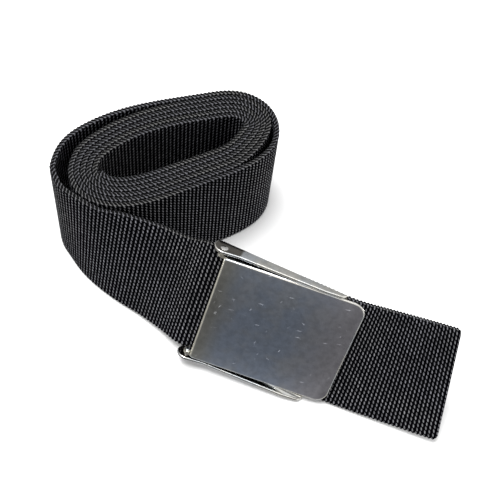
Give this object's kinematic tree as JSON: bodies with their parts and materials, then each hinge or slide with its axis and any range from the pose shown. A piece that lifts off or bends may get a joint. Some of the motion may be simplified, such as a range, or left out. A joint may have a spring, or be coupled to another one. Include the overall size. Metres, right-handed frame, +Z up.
{
  "type": "dive weight belt",
  "caption": "Dark webbing weight belt for diving, wound into an oval coil on its edge, with a stainless cam-lever buckle near its free end.",
  "frame": {"origin": "centre of the bounding box in plan, on the surface the belt stands on", "axes": "+Z up; +X along the longest side, from the coil towards the tail; +Y away from the buckle's face"},
  "size_m": [0.1619, 0.1172, 0.0536],
  "materials": {
    "webbing": "ribbed woven synthetic webbing, dull",
    "buckle_steel": "polished stainless sheet",
    "lever_steel": "satin stainless sheet with fine scratches",
    "pin_steel": "bright peened stainless"
  },
  "bodies": {
    "belt": {"webbing_strap": "webbing", "buckle_base": "buckle_steel", "hinge_rivet_lower": "pin_steel", "hinge_rivet_upper": "pin_steel"},
    "lever": {"cam_lever": "lever_steel"}
  },
  "joints": [
    {"name": "lever_hinge", "type": "hinge", "parent": "belt", "child": "lever", "pos_m": [-0.01512, -0.02764, 0.02873], "axis": [-0.1744, -0.441, -0.8804], "range_deg": [0, 115]}
  ]
}
